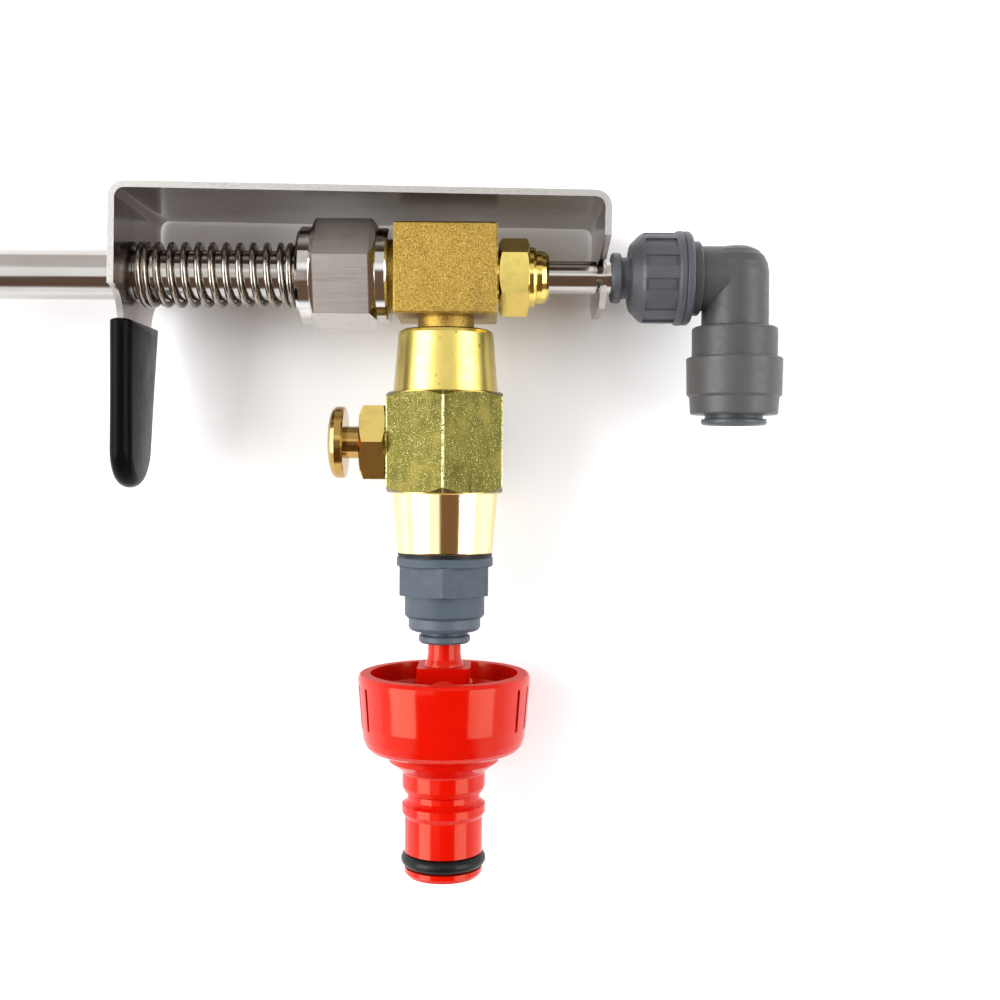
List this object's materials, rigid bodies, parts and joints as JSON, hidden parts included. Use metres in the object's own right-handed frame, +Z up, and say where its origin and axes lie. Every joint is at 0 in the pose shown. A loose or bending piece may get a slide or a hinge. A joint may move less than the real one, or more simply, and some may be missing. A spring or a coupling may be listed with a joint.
{
  "type": "lever-operated twin-tube wand",
  "caption": "Long tubular wand with a squeeze lever, return spring, brass push-button valve handle, push-in elbow and red hose adapter.",
  "frame": {"origin": "centre of the wand tube's outlet end", "axes": "+X along the wand from the tip to the handle, +Y from the handle towards the bracket's top plate, +Z up when the wand lies on its side"},
  "size_m": [0.4259, 0.13, 0.0334],
  "materials": {
    "wand_tube": "polished stainless steel",
    "tip_stopper": "black rubber",
    "stopper_pin": "polished stainless steel",
    "tube_nut": "polished stainless steel",
    "tube_ferrule": "raw turned brass",
    "tee_block": "raw turned brass",
    "gland_nut": "raw turned brass",
    "packing_ring": "white sealing plastic",
    "gland_wiper": "black rubber",
    "valve_body": "raw turned brass",
    "valve_bonnet": "raw turned brass",
    "bonnet_seal": "black rubber",
    "valve_seat": "raw turned brass",
    "valve_button": "raw turned brass",
    "poppet_disc": "black rubber",
    "poppet_washer": "raw turned brass",
    "valve_spring": "bright spring wire",
    "seal_washer": "black rubber",
    "hose_fitting": "textured blue-grey plastic",
    "fitting_cap": "satin dark grey plastic",
    "fitting_seal": "black rubber",
    "fitting_collet": "satin dark grey plastic",
    "fitting_teeth": "polished stainless steel",
    "hose_adapter": "glossy red plastic",
    "tap_washer": "black rubber",
    "adapter_stem": "glossy red plastic",
    "stem_seal": "black rubber",
    "spigot_o_ring": "black rubber",
    "trigger_spring": "bright spring wire",
    "bracket": "brushed stainless sheet",
    "lever_grip": "glossy black dipped vinyl",
    "inner_tube": "polished stainless steel",
    "elbow_body": "satin grey plastic",
    "elbow_cap": "satin dark grey plastic",
    "inlet_seal": "black rubber",
    "inlet_collet": "satin dark grey plastic",
    "inlet_teeth": "polished stainless steel",
    "outlet_cap": "satin dark grey plastic",
    "outlet_seal": "black rubber",
    "outlet_collet": "satin dark grey plastic",
    "outlet_teeth": "polished stainless steel"
  },
  "bodies": {
    "valve": {"wand_tube": "wand_tube", "tip_stopper": "tip_stopper", "stopper_pin": "stopper_pin", "tube_nut": "tube_nut", "tube_ferrule": "tube_ferrule", "tee_block": "tee_block", "gland_nut": "gland_nut", "packing_ring": "packing_ring", "gland_wiper": "gland_wiper", "valve_body": "valve_body", "valve_bonnet": "valve_bonnet", "bonnet_seal": "bonnet_seal", "valve_seat": "valve_seat", "valve_spring": "valve_spring", "seal_washer": "seal_washer", "hose_fitting": "hose_fitting", "fitting_cap": "fitting_cap", "fitting_seal": "fitting_seal"},
    "spring": {"trigger_spring": "trigger_spring"},
    "trigger": {"bracket": "bracket", "lever_grip": "lever_grip"},
    "elbow": {"inner_tube": "inner_tube", "elbow_body": "elbow_body", "elbow_cap": "elbow_cap", "inlet_seal": "inlet_seal", "outlet_cap": "outlet_cap", "outlet_seal": "outlet_seal"},
    "inlet_ring": {"inlet_collet": "inlet_collet", "inlet_teeth": "inlet_teeth"},
    "outlet_ring": {"outlet_collet": "outlet_collet", "outlet_teeth": "outlet_teeth"},
    "button": {"valve_button": "valve_button", "poppet_disc": "poppet_disc", "poppet_washer": "poppet_washer"},
    "hose_ring": {"fitting_collet": "fitting_collet", "fitting_teeth": "fitting_teeth"},
    "adapter": {"hose_adapter": "hose_adapter", "tap_washer": "tap_washer", "adapter_stem": "adapter_stem", "stem_seal": "stem_seal", "spigot_o_ring": "spigot_o_ring"}
  },
  "joints": [
    {"name": "trigger_swivel", "type": "hinge", "parent": "valve", "child": "spring", "pos_m": [0.32, 0, 0], "axis": [1, 0, 0], "range_deg": [-20, 20]},
    {"name": "trigger_pull", "type": "slide", "parent": "spring", "child": "trigger", "axis": [1, 0, 0], "range_m": [0, 0.008], "stiffness_N_per_m": 900, "springref_m": -0.01, "deforming": ["trigger_spring"]},
    {"name": "elbow_turn", "type": "hinge", "parent": "trigger", "child": "elbow", "pos_m": [0.4, 0, 0], "axis": [1, 0, 0], "continuous": true},
    {"name": "inlet_release", "type": "slide", "parent": "elbow", "child": "inlet_ring", "axis": [1, 0, 0], "range_m": [0, 0.0012]},
    {"name": "outlet_release", "type": "slide", "parent": "elbow", "child": "outlet_ring", "axis": [0, 1, 0], "range_m": [0, 0.0006]},
    {"name": "button_press", "type": "slide", "parent": "valve", "child": "button", "axis": [1, 0, 0], "range_m": [0, 0.0019], "stiffness_N_per_m": 1500, "springref_m": -0.002, "deforming": ["valve_spring"]},
    {"name": "hose_release", "type": "slide", "parent": "valve", "child": "hose_ring", "axis": [0, 1, 0], "range_m": [0, 0.0006]},
    {"name": "adapter_turn", "type": "hinge", "parent": "valve", "child": "adapter", "pos_m": [0.36, -0.08, 0], "axis": [0, 1, 0], "continuous": true}
  ]
}
